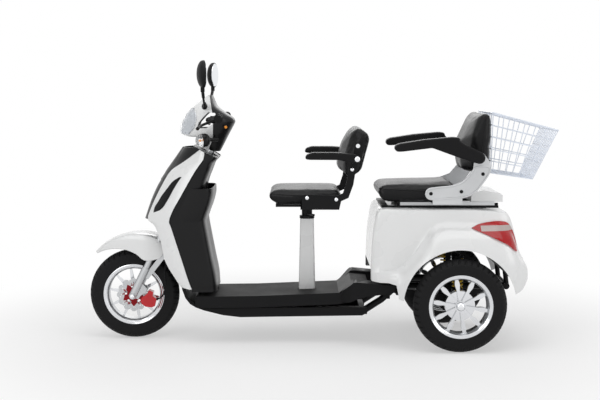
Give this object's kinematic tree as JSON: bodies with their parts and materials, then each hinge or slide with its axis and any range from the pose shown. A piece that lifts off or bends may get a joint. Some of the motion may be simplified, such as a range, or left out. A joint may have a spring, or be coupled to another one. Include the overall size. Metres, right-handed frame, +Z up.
{
  "type": "electric moped",
  "caption": "Three-wheeled electric moped with a swivelling rider seat, a sliding passenger seat, folding armrests, a footboard and a wire basket.",
  "frame": {"origin": "floor level under the middle of the overall length and width", "axes": "+Z up, -X towards the front wheel, +X towards the basket, -Y the left side"},
  "size_m": [2.1, 0.7104, 1.264],
  "materials": {
    "basket_white": "gloss",
    "black_plastic": "satin",
    "brake_red": "gloss",
    "frame_black": "satin",
    "lamp_red": "gloss",
    "seat_cover": "soft sheen",
    "silver": "satin",
    "spring_yellow": "gloss",
    "tyre": "matte",
    "white_paint": "gloss"
  },
  "bodies": {
    "chassis": {"frame": "frame_black", "deck": "black_plastic", "belly_tray": "black_plastic", "leg_shield": "black_plastic", "nose_panel": "black_plastic", "left_fairing": "white_paint", "right_fairing": "white_paint", "seat_post": "white_paint", "tub": "white_paint", "arch_liners": "black_plastic", "left_tail_lamp": "lamp_red", "right_tail_lamp": "lamp_red", "plate_holder": "black_plastic", "seat_rails": "frame_black", "rear_axle": "frame_black", "left_shock": "spring_yellow", "right_shock": "spring_yellow"},
    "steering": {"fork": "silver", "handlebar": "frame_black", "headlight_cowl": "white_paint", "dashboard": "black_plastic", "left_mirror": "black_plastic", "right_mirror": "black_plastic", "front_fender": "white_paint", "brake_caliper": "brake_red", "brake_hose": "black_plastic"},
    "front_wheel": {"front_tyre": "tyre", "front_rim": "silver", "brake_disc": "silver"},
    "rear_left_wheel": {"rear_left_tyre": "tyre", "rear_left_rim": "silver"},
    "rear_right_wheel": {"rear_right_tyre": "tyre", "rear_right_rim": "silver"},
    "front_seat": {"front_seat_frame": "frame_black", "front_seat_cushion": "seat_cover", "front_seat_back": "seat_cover"},
    "front_left_armrest": {"front_left_arm": "black_plastic"},
    "front_right_armrest": {"front_right_arm": "black_plastic"},
    "rear_seat": {"rear_seat_frame": "silver", "rear_seat_cushion": "seat_cover", "rear_seat_back": "seat_cover", "seat_tray": "white_paint", "basket": "basket_white"},
    "rear_left_armrest": {"rear_left_arm": "black_plastic"},
    "rear_right_armrest": {"rear_right_arm": "black_plastic"}
  },
  "joints": [
    {"name": "steering_turn", "type": "hinge", "parent": "chassis", "child": "steering", "pos_m": [-0.81162, 0, 0.205], "axis": [0.4384, 0, 0.8988], "range_deg": [-35, 35]},
    {"name": "front_wheel_spin", "type": "hinge", "parent": "steering", "child": "front_wheel", "pos_m": [-0.845, 0, 0.205], "axis": [0, 1, 0], "continuous": true},
    {"name": "rear_left_wheel_spin", "type": "hinge", "parent": "chassis", "child": "rear_left_wheel", "pos_m": [0.61, -0.308, 0.205], "axis": [0, 1, 0], "continuous": true},
    {"name": "rear_right_wheel_spin", "type": "hinge", "parent": "chassis", "child": "rear_right_wheel", "pos_m": [0.61, 0.308, 0.205], "axis": [0, 1, 0], "continuous": true},
    {"name": "front_seat_swivel", "type": "hinge", "parent": "chassis", "child": "front_seat", "pos_m": [-0.053, 0, 0.56], "axis": [0, 0, 1], "range_deg": [-75, 75]},
    {"name": "front_left_armrest_fold", "type": "hinge", "parent": "front_seat", "child": "front_left_armrest", "pos_m": [0.163, -0.24, 0.839], "axis": [0, 1, 0], "range_deg": [0, 95]},
    {"name": "front_right_armrest_fold", "type": "hinge", "parent": "front_seat", "child": "front_right_armrest", "pos_m": [0.163, 0.24, 0.839], "axis": [0, 1, 0], "range_deg": [0, 95]},
    {"name": "rear_seat_slide", "type": "slide", "parent": "chassis", "child": "rear_seat", "axis": [1, 0, 0], "range_m": [0, 0.06]},
    {"name": "rear_left_armrest_fold", "type": "hinge", "parent": "rear_seat", "child": "rear_left_armrest", "pos_m": [0.695, -0.25, 0.843], "axis": [0, 1, 0], "range_deg": [0, 85]},
    {"name": "rear_right_armrest_fold", "type": "hinge", "parent": "rear_seat", "child": "rear_right_armrest", "pos_m": [0.695, 0.25, 0.843], "axis": [0, 1, 0], "range_deg": [0, 85]}
  ]
}
